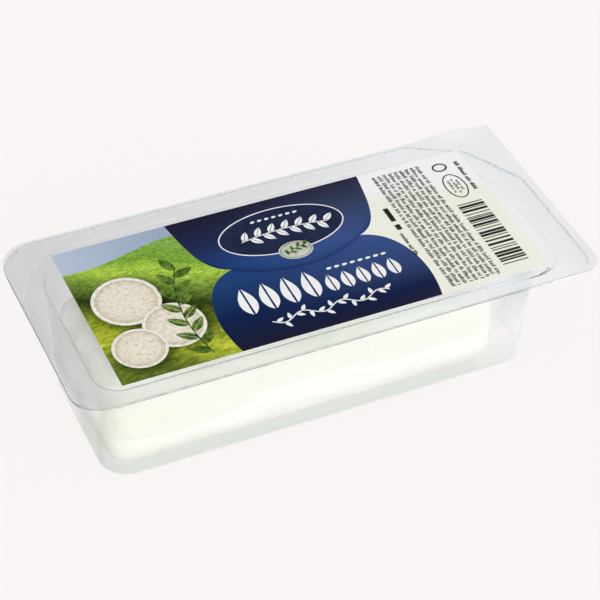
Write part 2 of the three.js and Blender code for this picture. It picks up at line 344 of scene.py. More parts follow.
def give_thickness(piece, thickness, offset=1.0, back=0):
    """A wall of even thickness on one side of the piece's surface. Its new face may have
    the material that stands so many places after the first one."""
    wall = piece.modifiers.new("thickness", "SOLIDIFY")
    wall.material_offset = back
    wall.thickness = thickness
    wall.offset = offset
    wall.use_even_offset = True


def tray_sides():
    """The flange's six sides as distances from the origin. Both facets of the cut corner
    pass through the bend between them."""
    bend = np.array([TRAY_RIGHT - CUT_INSET, PACK_HALF_WIDTH - CUT_INSET])
    lower = bend @ np.array([math.cos(CUT_LEAN), math.sin(CUT_LEAN)])
    upper = bend @ np.array([math.sin(CUT_LEAN), math.cos(CUT_LEAN)])
    return np.array([PACK_HALF_WIDTH, TRAY_RIGHT, lower, upper, PACK_HALF_WIDTH, PACK_HALF_LENGTH])


def tray_profile():
    """The sheet's under face as rows from the flange's edge, which is turned down a
    little, to the bottom: how far each side is moved in, the height, and each corner's
    radius. Bends are quarter arcs."""
    quarter = np.linspace(0, math.pi / 2, BEND_POINTS)
    flat = np.linspace(0, 1, FLANGE_ROWS + 1)[:-1]
    to_bend = FLANGE_WIDTHS - STEP_BENDS - RIM_INSETS
    across = [RIM_INSETS[None], RIM_INSETS + np.outer(flat, to_bend)]
    height = [[FLANGE_UNDER - EDGE_TURN], np.full(len(flat), FLANGE_UNDER)]
    across.append(FLANGE_WIDTHS - np.outer(1 - np.sin(quarter), STEP_BENDS))
    height.append(FLANGE_UNDER - STEP_DROP * (1 - np.cos(quarter)))
    foot = np.minimum(FOOT_BEND, LEDGE_WIDTHS)
    step = FLANGE_WIDTHS + np.outer(1 - np.cos(quarter), foot)
    step_height = LEDGE_UNDER + LEDGE_FALL + FOOT_BEND * (1 - np.sin(quarter))
    ledge_end = FLANGE_WIDTHS + LEDGE_WIDTHS
    lip = ledge_end + np.outer(np.sin(quarter), LIP_WIDTHS)
    lip_height = LEDGE_UNDER - LIP_HEIGHT * (1 - np.cos(quarter))
    wall_top = LEDGE_UNDER - LIP_HEIGHT
    rows = np.concatenate([step, lip])
    rows_height = np.concatenate([step_height, lip_height])
    fallen = (FLANGE_UNDER - STEP_DROP - rows_height) / (FLANGE_UNDER - STEP_DROP - wall_top)
    straight = FLANGE_WIDTHS + np.outer(fallen, LEDGE_WIDTHS + LIP_WIDTHS)
    across.append(np.where(LEDGE_WIDTHS < NARROW_LEDGE, straight, rows))
    height.append(rows_height)
    share = np.linspace(0, 1, WALL_ROWS + 1)[1:]
    across.append(ledge_end + LIP_WIDTHS + np.outer(share, DRAFTS))
    height.append(wall_top + (BOTTOM_BEND - wall_top) * share)
    wall_foot = ledge_end + LIP_WIDTHS + DRAFTS
    across.append(wall_foot + BOTTOM_BEND * (1 - np.cos(quarter[1:]))[:, None])
    height.append(BOTTOM_BEND * (1 - np.sin(quarter[1:])))
    across = np.concatenate(across)
    height = np.concatenate(height)
    to_step = np.clip(across / FLANGE_WIDTHS, 0, 1)
    to_pocket = np.clip((across - FLANGE_WIDTHS) / LEDGE_WIDTHS, 0, 1)
    radii = FLANGE_CORNERS + (STEP_CORNERS - FLANGE_CORNERS) * to_step
    radii = radii + (POCKET_CORNERS - STEP_CORNERS) * to_pocket
    in_bend = np.clip(across - wall_foot, 0, None)
    return across, height, np.maximum(radii - in_bend, LEAST_CORNER)


def object_axes(tree):
    """The piece's own place in millimetres, as a vector and as X, Y and Z."""
    place = add_node(tree, "TexCoord")
    scale = add_node(tree, "VectorMath", operation="SCALE", Scale=1 / MM)
    split = add_node(tree, "SeparateXYZ")
    link(tree, place.outputs["Object"], scale.inputs[0])
    link(tree, scale.outputs[0], split.inputs[0])
    return scale.outputs[0], split.outputs


def colour_ramp(tree, factor, stops):
    """Colours by position: each stop is a position in the factor's own unit and a colour."""
    low, high = stops[0][0], stops[-1][0]
    spread = add_node(tree, "MapRange", Value=factor, From_Min=low, From_Max=high)
    ramp = add_node(tree, "ValToRGB", Fac=spread.outputs["Result"])
    elements = ramp.color_ramp.elements
    while len(elements) < len(stops):
        elements.new(0.5)
    for element, (place, colour) in zip(elements, stops):
        element.position = (place - low) / (high - low)
        element.color = (*colour, 1)
    return ramp.outputs["Color"]


def blended(tree, factor, first, second, blend_type="MIX"):
    """The first colour where the factor is nought, and the second, or what the two give
    together, where it is one."""
    mix = add_node(tree, "Mix", data_type="RGBA", blend_type=blend_type)
    for name, value in {"Factor": factor, "A": first, "B": second}.items():
        link(tree, value, mix.inputs[name])
    return mix.outputs["Result"]


def multiplied(tree, first, second, share=1.0):
    """Two colours multiplied, wholly or in part."""
    return blended(tree, share, first, second, "MULTIPLY")


def slant_tint(tree, stops):
    """A tint that deepens as the surface is seen more slanted: nought is face on."""
    slant = add_node(tree, "LayerWeight", Blend=0.5)
    return colour_ramp(tree, slant.outputs["Facing"], stops)


def noise_on(tree, vector, **settings):
    """Noise at the vector, as one value."""
    return add_node(tree, "TexNoise", Vector=vector, **settings).outputs[0]


def bump_of(tree, height, strength, depth, shader):
    """Small relief on a shader, from a height between nought and one."""
    bump = add_node(tree, "Bump", Height=height, Strength=strength, Distance=depth)
    link(tree, bump.outputs["Normal"], shader.inputs["Normal"])


def painted(tree, surface, colour, **settings):
    """Puts a shader of the colour on a surface input, and returns it."""
    shader = add_node(tree, "BsdfPrincipled", **settings)
    link(tree, colour, shader.inputs["Base Color"])
    link(tree, shader.outputs[0], surface)
    return shader


def clear_plastic(name, tint_and_shade_of, shade, waves):
    """A clear tinted sheet that bends and mirrors light, with faint waves in its gloss. Its
    tint may carry painted shade by place. Light from lamps and from matt things passes
    straight through it, a little dimmed."""
    material, tree, surface = new_material(name)
    vector, axes = object_axes(tree)
    ray = add_node(tree, "LightPath").outputs
    straight = pair_of(tree, "MAXIMUM", ray["Is Shadow Ray"], ray["Is Diffuse Ray"])
    mix = add_node(tree, "MixShader", Fac=straight)
    sheet = painted(tree, mix.inputs[1], tint_and_shade_of(tree, vector, axes), Roughness=0.02, IOR=1.5,
                    Transmission_Weight=1.0)
    swell = noise_on(tree, vector, Scale=0.09, Detail=2.0)
    bump_of(tree, swell, waves, depth=0.4 * MM, shader=sheet)
    through = add_node(tree, "BsdfTransparent", Color=(*shade, 1))
    link(tree, through.outputs[0], mix.inputs[2])
    link(tree, mix.outputs[0], surface)
    return material


def tray_surface():
    """Loops of the tray's under face, from the flange's edge to the bottom's middle."""
    across, height, radii = tray_profile()
    loops = rounded_loops(SIDE_ANGLES, tray_sides() - across, radii)
    heights = np.broadcast_to(height[:, None, None], (*loops.shape[:2], 1))
    surface = np.concatenate([loops, heights], axis=2)
    middle = surface[-1].mean(axis=0)
    inner = middle + (surface[-1] - middle) * FLOOR_RINGS[:, None, None]
    return np.concatenate([surface, inner])


def closed_faces(rows, columns, start=False, end=True):
    """Quads between the loops, with one face over the last loop, and over the first."""
    faces = loop_faces(rows, columns).tolist()
    if start:
        faces.append(list(range(columns))[::-1])
    if end:
        faces.append(list(range((rows - 1) * columns, rows * columns)))
    return faces


def straight_share(tree, value, stops):
    """A share of one with straight slopes: each stop is a position and the share there."""
    return colour_ramp(tree, value, [(place, (share, share, share)) for place, share in stops])


def tray_tint_and_shade(tree, vector, axes):
    """Almost clear and faintly blue. Greyer round the left end and along the back, a painted
    shade. Faintly green and darker along the foot, a painted shade under the log. Patches
    of the wall, each with its tints by X and its share by Z and by Y, are painted shade low
    at the left and high at the right, and painted light high at the left."""
    slanted = slant_tint(tree, TRAY_SLANT_TINTS)
    front = colour_ramp(tree, axes["X"], TRAY_FRONT_TINTS_AND_SHADE)
    back = colour_ramp(tree, axes["X"], TRAY_BACK_TINTS_AND_SHADE)
    sides = blended(tree, smooth_share(tree, axes["Y"], *TRAY_FRONT_TO_BACK), front, back)
    wall = colour_ramp(tree, axes["Z"], WALL_SHADE_TINTS)
    bottom = colour_ramp(tree, axes["Y"], TRAY_FLOOR_SHADE_TINTS)
    upright = blended(tree, smooth_share(tree, axes["Z"], *FLOOR_TO_WALL), bottom, wall)
    for tints, by_height, across in WALL_SHADING_PATCHES:
        patch = colour_ramp(tree, axes["X"], tints)
        share = multiplied(tree, straight_share(tree, axes["Z"], by_height),
                           straight_share(tree, axes["Y"], across))
        upright = blended(tree, share, upright, multiplied(tree, upright, patch))
    return multiplied(tree, multiplied(tree, slanted, sides), upright)


def cut_edge():
    """The sheet's cut edge, where it was punched out: half clear and greyish. Painted light
    and shade make it paler towards the back and the right end, and darkest along the left end."""
    material, tree, surface = new_material("cut_edge")
    vector, axes = object_axes(tree)
    grey = colour_ramp(tree, noise_on(tree, vector, Scale=0.5, Detail=2.0), EDGE_GREYS)
    across = colour_ramp(tree, axes["Y"], EDGE_SHADING_ACROSS)
    along = colour_ramp(tree, axes["X"], EDGE_SHADING_ALONG)
    shade = multiplied(tree, multiplied(tree, grey, across), along)
    limited = blended(tree, 1.0, shade, (*EDGE_PALEST, 1), "DARKEN")
    painted(tree, surface, limited, Roughness=0.25, IOR=1.5, Transmission_Weight=0.35)
    return material


tray_loops = tray_surface()
tray_faces = closed_faces(*tray_loops.shape[:2])
tray_plastic = clear_plastic("tray_sheet", tray_tint_and_shade, TRAY_SHADE, TRAY_WAVES)
tray = add_piece("clear_tray", tray_loops, tray_faces, tray_plastic, cut_edge())
turned_edge = np.zeros(len(tray.data.polygons), dtype=np.int32)
turned_edge[:tray_loops.shape[1]] = 1
tray.data.polygons.foreach_set("material_index", turned_edge)
give_thickness(tray, TRAY_SHEET)
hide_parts("tray")

# Cheese log
# Soft fresh curd pressed into a bar, white and moist, with rounded edges and ends. It
# lies along the tray's floor, close to the front wall.
LOG_LEFT = -57.8 * MM
LOG_RIGHT = 43.6 * MM
LOG_FRONT = -23.5 * MM
LOG_BACK = 18.2 * MM
LOG_FLOOR = 0.8 * MM
LOG_TOP = 27.8 * MM
LOG_END = 5.5 * MM
LOG_CORNERS = np.array([11, 11, 7, 7]) * MM
END_LOOPS = 9
BODY_LOOPS = 58
STREAK_LIFT = 20.0
STREAK_BUMP = 3.0
# The curd's colour by height, bent by streak noise: darker low down as painted shade, paler at the
# top as painted light, cream with a whiter streak between.
CURD_COLOURS_AND_SHADE = [
    (10, (0.7, 0.735, 0.69)), (13, (0.8, 0.82, 0.775)), (17, (0.835, 0.845, 0.805)),
    (20, (0.895, 0.89, 0.865)), (22, (0.9, 0.885, 0.86)), (24, (0.84, 0.842, 0.79)),
    (27, (0.855, 0.85, 0.79)), (28.5, (0.835, 0.835, 0.77)), (33, (0.845, 0.845, 0.785)),
    (38, (0.96, 0.965, 0.93))]
# Painted contact shadow: darker and greener at the log's foot.
FOOT_SHADOW_TINTS = [
    (2.4, (0.45, 0.55, 0.48)), (3.4, (0.7, 0.78, 0.72)), (4.1, (0.97, 0.98, 0.965)), (9, CLEAR)]
# At the left end: creamier and a little darker low down, the darkening painted shade on the end
# face, and darker high up, painted shade under the print.
LOW_END_CREAM_AND_SHADE = [(-57.8, (0.95, 0.945, 0.88)), (-56.5, (1, 1, 0.965)), (-30, CLEAR)]
HIGH_END_SHADE_TINTS = [(-55, (0.87, 0.88, 0.85)), (-46, CLEAR)]
LOW_TO_HIGH_END = (19, 25)


def log_surface():
    """Loops round the bar from its left end to its right end. Near an end each loop's
    sides move in along a quarter circle."""
    quarter = np.linspace(0, math.pi / 2, END_LOOPS)
    shrink = LOG_END * (1 - np.sin(quarter))
    along = LOG_END * (1 - np.cos(quarter))
    body = np.linspace(LOG_LEFT + LOG_END, LOG_RIGHT - LOG_END, BODY_LOOPS + 2)[1:-1]
    x = np.concatenate([LOG_LEFT + along, body, (LOG_RIGHT - along)[::-1]])
    inset = np.concatenate([shrink, np.zeros(len(body)), shrink[::-1]])[:, None]
    angles = np.arange(4) * math.pi / 2
    sides = np.array([LOG_BACK, LOG_TOP, -LOG_FRONT, -LOG_FLOOR]) - inset
    corners = LOG_CORNERS - inset
    section = rounded_loops(angles, sides, corners, arc_steps=12, straight_steps=12)
    spread = np.broadcast_to(x[:, None, None], (*section.shape[:2], 1))
    return np.concatenate([spread, section], axis=2)


def scaled_sum(tree, value, factor, added):
    """The value times the factor, plus the other value."""
    total = add_node(tree, "Math", operation="MULTIPLY_ADD")
    for entry, part in zip(total.inputs, (value, factor, added)):
        link(tree, part, entry)
    return total.outputs[0]


def curd_material():
    """White curd: creamy at its top and its left end, whiter along a wavy streak below the
    middle. Its colour by height, bent by the streaks, is darker towards the foot, a painted
    shade, and paler at the very top, a painted light. A painted contact shadow makes the foot
    darker and greener, and painted shade darkens the left end, most at its top. A fine uneven
    surface has a moist sheen, and light spreads a little under it."""
    material, tree, surface = new_material("fresh_curd")
    vector, axes = object_axes(tree)
    stretch = add_node(tree, "Mapping", Vector=vector, Scale=(0.035, 0.2, 0.2))
    streaks = noise_on(tree, stretch.outputs["Vector"], Scale=1.0, Detail=4.0, Roughness=0.55)
    level = scaled_sum(tree, streaks, STREAK_LIFT, axes["Z"])
    shaded_curd = multiplied(tree, colour_ramp(tree, level, CURD_COLOURS_AND_SHADE),
                             colour_ramp(tree, axes["Z"], FOOT_SHADOW_TINTS))
    low_end = colour_ramp(tree, axes["X"], LOW_END_CREAM_AND_SHADE)
    high_end = colour_ramp(tree, axes["X"], HIGH_END_SHADE_TINTS)
    end = blended(tree, smooth_share(tree, axes["Z"], *LOW_TO_HIGH_END), low_end, high_end)
    grain = noise_on(tree, vector, Scale=0.7, Detail=4.0)
    curd = painted(tree, surface, multiplied(tree, shaded_curd, end), Roughness=0.45, IOR=1.4,
                   Subsurface_Weight=0.4, Subsurface_Radius=(1.0, 0.9, 0.75),
                   Subsurface_Scale=2.5 * MM)
    relief = scaled_sum(tree, streaks, STREAK_BUMP, grain)
    bump_of(tree, relief, strength=0.35, depth=0.6 * MM, shader=curd)
    return material


log_loops = log_surface()
log_faces = closed_faces(*log_loops.shape[:2], start=True)
log = add_piece("goat_cheese_log", log_loops, log_faces, curd_material())
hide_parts("cheese_log")

# Lidding film
# A clear foil sealed on the flange. It is square over the tray's cut corner, where its
# loose back edge stands up a little as a tab to peel it by.
FILM_Z = 31.55 * MM
FILM_SHEET = 0.1 * MM
FILM_CORNERS = np.array([5, 0.8, 8.5, 7]) * MM
TAB_LIFT = 1.1 * MM
TAB_DEPTH = 7 * MM
SEAL_CENTRE = (-33.5, -5.5, 31.6)
SEAL_RADIUS = 37.0
SEAL_FADE = 12
SEAL_EDGE = 0.3
SEAL_TINT = (0.965, 0.968, 0.97)
RING_INSETS = np.array([0, 0.3, 1, 2, 4, 6.5, 9, 12, 16, 20, 24, 27]) * MM
CORNER_SHRINK = 0.5
LEAST_FILM_CORNER = 0.2 * MM
FILM_SHADE = (0.98, 0.982, 0.984)
FILM_WAVES = 0.06
FILM_SLANT_TINTS = [(0.36, CLEAR), (0.9, (0.93, 0.94, 0.95))]
# Painted shade in the film's tints by X, far, middle and near: greyer round the left end and along
# the far edge.
FILM_FAR_TINTS_AND_SHADE = [
    (-67, (0.85, 0.862, 0.868)), (-61, (0.838, 0.851, 0.857)), (-57, (0.835, 0.848, 0.854)),
    (-50, (0.872, 0.886, 0.891)), (-40, (0.885, 0.9, 0.905)), (0, (0.862, 0.88, 0.885)),
    (30, (0.907, 0.93, 0.945)), (40, (0.925, 0.945, 0.96)), (52, (0.9, 0.925, 0.935)),
    (67, (0.9, 0.925, 0.935))]
FILM_MIDDLE_TINTS_AND_SHADE = [
    (-67, (0.77, 0.78, 0.793)), (-65.5, (0.785, 0.795, 0.808)), (-64, (0.84, 0.851, 0.865)),
    (-61, (0.855, 0.866, 0.88)), (-58, (0.872, 0.877, 0.882)), (-50, (0.925, 0.935, 0.935)),
    (50, (0.95, 0.965, 0.975)), (58.5, (0.95, 0.967, 0.975)), (62, (0.912, 0.93, 0.945)),
    (67, (0.9, 0.92, 0.935))]
FILM_NEAR_TINTS_AND_SHADE = [
    (-67, (0.905, 0.915, 0.925)), (-61, (0.91, 0.915, 0.925)), (-58, (0.985, 0.99, 0.985)),
    (-50, (0.94, 0.945, 0.935)), (0, (0.935, 0.967, 0.94)), (35, (0.945, 0.97, 0.997)),
    (48, (0.925, 0.967, 0.972)), (54, (0.925, 0.967, 0.972)), (62, (0.93, 0.945, 0.955)),
    (66, (0.875, 0.88, 0.895))]
MIDDLE_TO_FAR = (-5, 24)
NEAR_TO_MIDDLE = (-24, -6)


def film_surface():
    """Loops from the film's edge in to its middle, flat but for the tab, whose back edge
    rises in a sine-squared arch that fades out towards the middle of the film."""
    angles = np.arange(-1, 3) * math.pi / 2
    inset = RING_INSETS[:, None]
    sides = np.array([PACK_HALF_WIDTH, PACK_HALF_LENGTH] * 2) - inset
    radii = np.maximum(FILM_CORNERS - inset * CORNER_SHRINK, LEAST_FILM_CORNER)
    loops = rounded_loops(angles, sides, radii, arc_steps=12, straight_steps=60)
    tab_start = PACK_HALF_LENGTH - CUT_REACH
    along = np.clip((loops[..., 0] - tab_start) / CUT_REACH, 0, 1)
    near_back = np.clip((loops[..., 1] - (PACK_HALF_WIDTH - TAB_DEPTH)) / TAB_DEPTH, 0, 1)
    lift = TAB_LIFT * np.sin(math.pi * along) ** 2 * near_back ** 2
    return np.concatenate([loops, (FILM_Z + lift)[..., None]], axis=2)


def distance_from(tree, vector, place):
    """How far the vector is from a fixed place."""
    gap = add_node(tree, "VectorMath", operation="DISTANCE")
    gap.inputs[1].default_value = place
    link(tree, vector, gap.inputs[0])
    return gap.outputs["Value"]


def film_tint_and_shade(tree, vector, axes):
    """Faintly blue, with painted shade that makes it greyer round the left end and along the
    far edge, and clearest along the near edge. It is a little greyer up to the seal's end at
    the far left, and not beyond it, where the film lies loose on the flange."""
    slanted = slant_tint(tree, FILM_SLANT_TINTS)
    far, middle, near = [colour_ramp(tree, axes["X"], tints)
                         for tints in (FILM_FAR_TINTS_AND_SHADE, FILM_MIDDLE_TINTS_AND_SHADE, FILM_NEAR_TINTS_AND_SHADE)]
    sides = blended(tree, smooth_share(tree, axes["Y"], *MIDDLE_TO_FAR), middle, far)
    sides = blended(tree, smooth_share(tree, axes["Y"], *NEAR_TO_MIDDLE), near, sides)
    seal = colour_ramp(tree, distance_from(tree, vector, SEAL_CENTRE), [
        (SEAL_RADIUS - SEAL_FADE, CLEAR), (SEAL_RADIUS - SEAL_EDGE, SEAL_TINT),
        (SEAL_RADIUS, CLEAR)])
    return multiplied(tree, multiplied(tree, slanted, sides), seal)


film_loops = film_surface()
film_faces = closed_faces(*film_loops.shape[:2])
film_plastic = clear_plastic("film_sheet", film_tint_and_shade, FILM_SHADE, FILM_WAVES)
film = add_piece("peel_film", film_loops, film_faces, film_plastic)
give_thickness(film, FILM_SHEET)
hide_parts("lidding_film")

# Printed fields
# Three fields of ink lie side by side on the film. The blue one is a bowl over a dome,
# and its two curved edges bound the meadow at the left and the pale panel at the right,
# which both reach a little way under it. Each has a white backing on the film's side.
FIELD_LEFT = -55.4 * MM
FIELD_RIGHT = 55 * MM
FIELD_UNDER = 0.6 * MM
INK_TOP = 31.87 * MM
INK_DEPTH = 0.04 * MM
SLICES = [(-44.5, 1.0, 8.4), (-37.0, -10.8, 7.6), (-47.3, -15.2, 6.6)]
SHADE_MOVE = (0.7, -0.8)
SHADE_SPAN = (-0.5, 2.2)
SHADE_TINT = (0.3, 0.34, 0.3)
BOWL_CURVE = np.array([[26.2, 23.2], [24.6, 13.2], [23.8, 4.3], [17.1, 2.1]]) * MM
DOME_CURVE = np.array([[17.1, 2.1], [26.2, 0.1], [29.2, -12.9], [25.8, -25.1]]) * MM
BLUE_LEFT_INKS = [
    (-25.1, (0.0125, 0.012, 0.034)), (-14, (0.0048, 0.018, 0.078)), (-2, (0.0155, 0.054, 0.175)),
    (3, (0.018, 0.057, 0.21)), (13, (0.017, 0.024, 0.077)), (23, (0.0135, 0.013, 0.033))]
BLUE_RIGHT_INKS = [
    (-25.1, (0.0145, 0.0145, 0.041)), (-20, (0.006, 0.013, 0.056)), (-12, (0.028, 0.056, 0.165)),
    (2, (0.046, 0.09, 0.275)), (14, (0.037, 0.054, 0.118)), (23, (0.024, 0.023, 0.055))]
BLUE_LEFT_TO_RIGHT = (-20, 18)
BOWL_CENTRE = (0, 28.7, 31.87)
SEAM_TINTS = [
    (28, CLEAR), (30.6, (0.9, 0.9, 0.9)), (31.6, (0.5, 0.55, 0.65)), (32.2, (0.92, 0.93, 0.96)),
    (35, CLEAR)]
GRASS_SLOPE = 0.45
GRASS_ROLL = 11.0
GRASS_INKS = [
    (-37, (0.13, 0.18, 0.025)), (-29, (0.48, 0.55, 0.05)), (-20, (0.18, 0.23, 0.018)),
    (-14, (0.028, 0.05, 0.008)), (-7, (0.18, 0.28, 0.045)), (-1, (0.42, 0.62, 0.075)),
    (4, (0.2, 0.38, 0.045)), (12, (0.24, 0.44, 0.09))]
TUFT_TINTS = [(0.33, (0.25, 0.32, 0.3)), (0.5, (0.95, 0.95, 0.9)), (0.68, (1.7, 1.6, 1.5))]
TUFT_SHARE = 0.85
TUFT_LEAN = math.radians(-25)
SKY_INKS = [(-55, (0.47, 0.55, 0.68)), (-28, (0.33, 0.41, 0.54))]
HORIZON_BLUR = 0.25
CREAM_SLOPE = 0.21
CREAM_INKS = [(18, (0.885, 0.88, 0.785)), (22.5, (0.92, 0.925, 0.925))]


def blue_edge(steps=24):
    """The blue field's half width and Y from its top to its foot: two Bezier curves, each
    a sum of its four points weighted by the cubic Bernstein polynomials."""
    t = np.linspace(0, 1, steps + 1)[:, None]
    weights = [(1 - t) ** 3, 3 * t * (1 - t) ** 2, 3 * t ** 2 * (1 - t), t ** 3]
    weights = np.concatenate(weights, axis=1)
    return np.concatenate([weights @ BOWL_CURVE, (weights @ DOME_CURVE)[1:]])


def field_surface(left, right, y, z, steps=12):
    """A flat sheet between two edges: each row runs evenly from its left to its right
    end, at that row's Y."""
    share = np.linspace(0, 1, steps + 1)
    x = left[:, None] + (right - left)[:, None] * share
    return np.stack([x, np.broadcast_to(y[:, None], x.shape), np.full(x.shape, z)], axis=-1)


def sheet_faces(rows, columns):
    """Quads of an open grid whose rows run towards -Y, facing up."""
    corner = np.arange(rows - 1)[:, None] * columns + np.arange(columns - 1)
    round_the_face = [corner, corner + columns, corner + columns + 1, corner + 1]
    return np.stack(round_the_face, axis=-1).reshape(-1, 4)


def ink(tree, surface, colour):
    """Printed ink under the film's gloss."""
    painted(tree, surface, colour, Roughness=0.08, IOR=1.5)


def mottled_ink(name, dark, light, size):
    """Ink of one hue, a little uneven at one scale in millimetres."""
    material, tree, surface = new_material(name)
    vector, _ = object_axes(tree)
    mottle = noise_on(tree, vector, Scale=1 / size, Detail=3.0)
    ink(tree, surface, colour_ramp(tree, mottle, [(0.35, dark), (0.65, light)]))
    return material


def blue_ink():
    """Navy at the far and near edges and royal blue between, lighter to the right, with a
    soft dark seam where the bowl's lower arc crosses the field."""
    material, tree, surface = new_material("blue_ink")
    vector, axes = object_axes(tree)
    left = colour_ramp(tree, axes["Y"], BLUE_LEFT_INKS)
    right = colour_ramp(tree, axes["Y"], BLUE_RIGHT_INKS)
    blue = blended(tree, smooth_share(tree, axes["X"], *BLUE_LEFT_TO_RIGHT), left, right)
    seam = colour_ramp(tree, distance_from(tree, vector, BOWL_CENTRE), SEAM_TINTS)
    ink(tree, surface, multiplied(tree, blue, seam))
    return material


def meadow_ink():
    """Sky over rolling grass: slanted bands, bent by slow noise, with tufts that grow
    coarser to the front, and a soft shade round each slice that lies on the grass."""
    material, tree, surface = new_material("meadow_ink")
    vector, axes = object_axes(tree)
    slow = noise_on(tree, vector, Scale=0.11, Detail=4.0)
    slope = scaled_sum(tree, axes["X"], GRASS_SLOPE, axes["Y"])
    grass = colour_ramp(tree, scaled_sum(tree, slow, GRASS_ROLL, slope), GRASS_INKS)
    lie = add_node(tree, "Mapping", Vector=vector, Rotation=(0, 0, TUFT_LEAN),
                   Scale=(0.6, 1.3, 1.0))
    coarse = add_node(tree, "MapRange", Value=axes["Y"], From_Min=-24.0, From_Max=18.0,
                      To_Min=0.55, To_Max=1.5)
    tufts = noise_on(tree, lie.outputs["Vector"], Scale=coarse.outputs["Result"], Detail=5.0,
                     Roughness=0.75, Distortion=0.6)
    light = colour_ramp(tree, tufts, TUFT_TINTS)
    field = multiplied(tree, grass, light, TUFT_SHARE)
    horizon = smooth_share(tree, axes["X"], low=-50.0, high=-26.0, start=15.0, end=19.3)
    over = pair_of(tree, "SUBTRACT", axes["Y"], horizon)
    sky = colour_ramp(tree, axes["X"], SKY_INKS)
    colour = blended(tree, smooth_share(tree, over, -HORIZON_BLUR, HORIZON_BLUR), field, sky)
    for x, y, radius in SLICES:
        middle = (x + SHADE_MOVE[0], y + SHADE_MOVE[1], INK_TOP / MM)
        shade = colour_ramp(tree, distance_from(tree, vector, middle), [
            (radius + SHADE_SPAN[0], SHADE_TINT), (radius + SHADE_SPAN[1], CLEAR)])
        colour = multiplied(tree, colour, shade)
    ink(tree, surface, colour)
    return material


def cream_ink():
    """A pale panel: cream, and almost white towards the far right."""
    material, tree, surface = new_material("cream_ink")
    _, axes = object_axes(tree)
    slope = scaled_sum(tree, axes["X"], CREAM_SLOPE, axes["Y"])
    ink(tree, surface, colour_ramp(tree, slope, CREAM_INKS))
    return material


backing = mottled_ink("backing_ink", dark=(0.78, 0.78, 0.76), light=(0.88, 0.88, 0.86), size=3)
half, edge_y = blue_edge().T
left_end = np.full(half.shape, FIELD_LEFT)
right_end = np.full(half.shape, FIELD_RIGHT)
blue_top = INK_TOP + INK_DEPTH / 2
fields = {
    "blue": (-half, half, blue_top, blue_ink),
    "meadow": (left_end, FIELD_UNDER - half, INK_TOP, meadow_ink),
    "cream": (half - FIELD_UNDER, right_end, INK_TOP, cream_ink),
}
for hue, (left, right, top, material) in fields.items():
    sheet = field_surface(left, right, edge_y, top)
    panel_faces = sheet_faces(*sheet.shape[:2]).tolist()
    panel = add_piece(f"{hue}_panel", sheet, panel_faces, material(), backing, smooth=False)
    give_thickness(panel, INK_DEPTH, offset=-1.0, back=1)
    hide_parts(f"print_{hue}_field")

# Cheese picture
# Three slices of a cheese log and a herb sprig are printed over the meadow. A slice has a
# cream face, and a thin rind that is a little paler.
PRINT_Z = 31.93 * MM
PRINT_DEPTH = 0.02 * MM
LAYER_STEP = 0.012 * MM
SLICE_INKS = [
    (0, (0.84, 0.79, 0.67)), (0.7, (0.8, 0.74, 0.61)), (0.88, (0.62, 0.55, 0.42)),
    (0.91, (0.9, 0.87, 0.8)), (1, (0.8, 0.77, 0.69))]
PORE_TINTS = [(0.32, (0.72, 0.7, 0.66)), (0.5, CLEAR), (0.7, (1.12, 1.12, 1.12))]
LEAF_PLACE_POWER = 0.8
LEAF_WIDTH_POWER = 0.9
LEAST_WIDTH = 0.001
SPRIG_ENDS = (0.03, 0.97)


def disc_surface(x, y, half_x, half_y, z, columns=64, rings=(1, 0.97, 0.9, 0.75, 0.5, 0.2)):
    """Loops of an ellipse from its rim to its middle, in millimetres but for the height."""
    turn = np.linspace(0, 2 * math.pi, columns, endpoint=False)
    reach = np.array(rings)[:, None]
    points = [(x + half_x * reach * np.cos(turn)) * MM, (y + half_y * reach * np.sin(turn)) * MM]
    return np.stack([*points, np.full(points[0].shape, z)], axis=-1)


def add_disc(name, centre, halves, z, material):
    """A round patch of ink. Its attribute "reach" is nought in the middle and one at the
    rim."""
    loops = disc_surface(*centre, *halves, z)
    disc = add_piece(name, loops, closed_faces(*loops.shape[:2]), material, smooth=False)
    away = np.linalg.norm((loops[..., :2] / MM - centre) / halves, axis=-1)
    reach = disc.data.attributes.new("reach", "FLOAT", "POINT")
    reach.data.foreach_set("value", away.ravel())
    give_thickness(disc, PRINT_DEPTH, offset=-1.0)


def slice_ink():
    """Cream curd, mottled with small pores, in a paler rind with a thin shade inside it."""
    material, tree, surface = new_material("slice_ink")
    vector, _ = object_axes(tree)
    reach = add_node(tree, "Attribute", attribute_name="reach")
    face = colour_ramp(tree, reach.outputs["Fac"], SLICE_INKS)
    pores = noise_on(tree, vector, Scale=1.1, Detail=5.0, Roughness=0.7)
    ink(tree, surface, multiplied(tree, face, colour_ramp(tree, pores, PORE_TINTS)))
    return material


slice_colours = slice_ink()
for number, (x, y, radius) in enumerate(SLICES):
    slice_z = PRINT_Z + LAYER_STEP * number
    add_disc(f"printed_slice_{number}", (x, y), (radius, radius), slice_z, slice_colours)


def strip_surface(paths, widths, z):
    """Flat bands along paths given in millimetres: each point of a path is moved to both
    sides, across the path's direction, by half the band's width there."""
    ahead = np.gradient(paths, axis=1)
    ahead = ahead / np.linalg.norm(ahead, axis=2, keepdims=True)
    across = np.stack([-ahead[..., 1], ahead[..., 0]], axis=-1) * widths[..., None] / 2
    sides = np.stack([paths + across, paths - across], axis=2) * MM
    return np.concatenate([sides, np.full((*sides.shape[:3], 1), z)], axis=3)


def strip_faces(strips, count):
    """The quads of such bands, each band with its own points."""
    first = (np.arange(strips)[:, None] * count + np.arange(count - 1)) * 2
    return (first[..., None] + np.array([0, 1, 3, 2])).reshape(-1, 4)


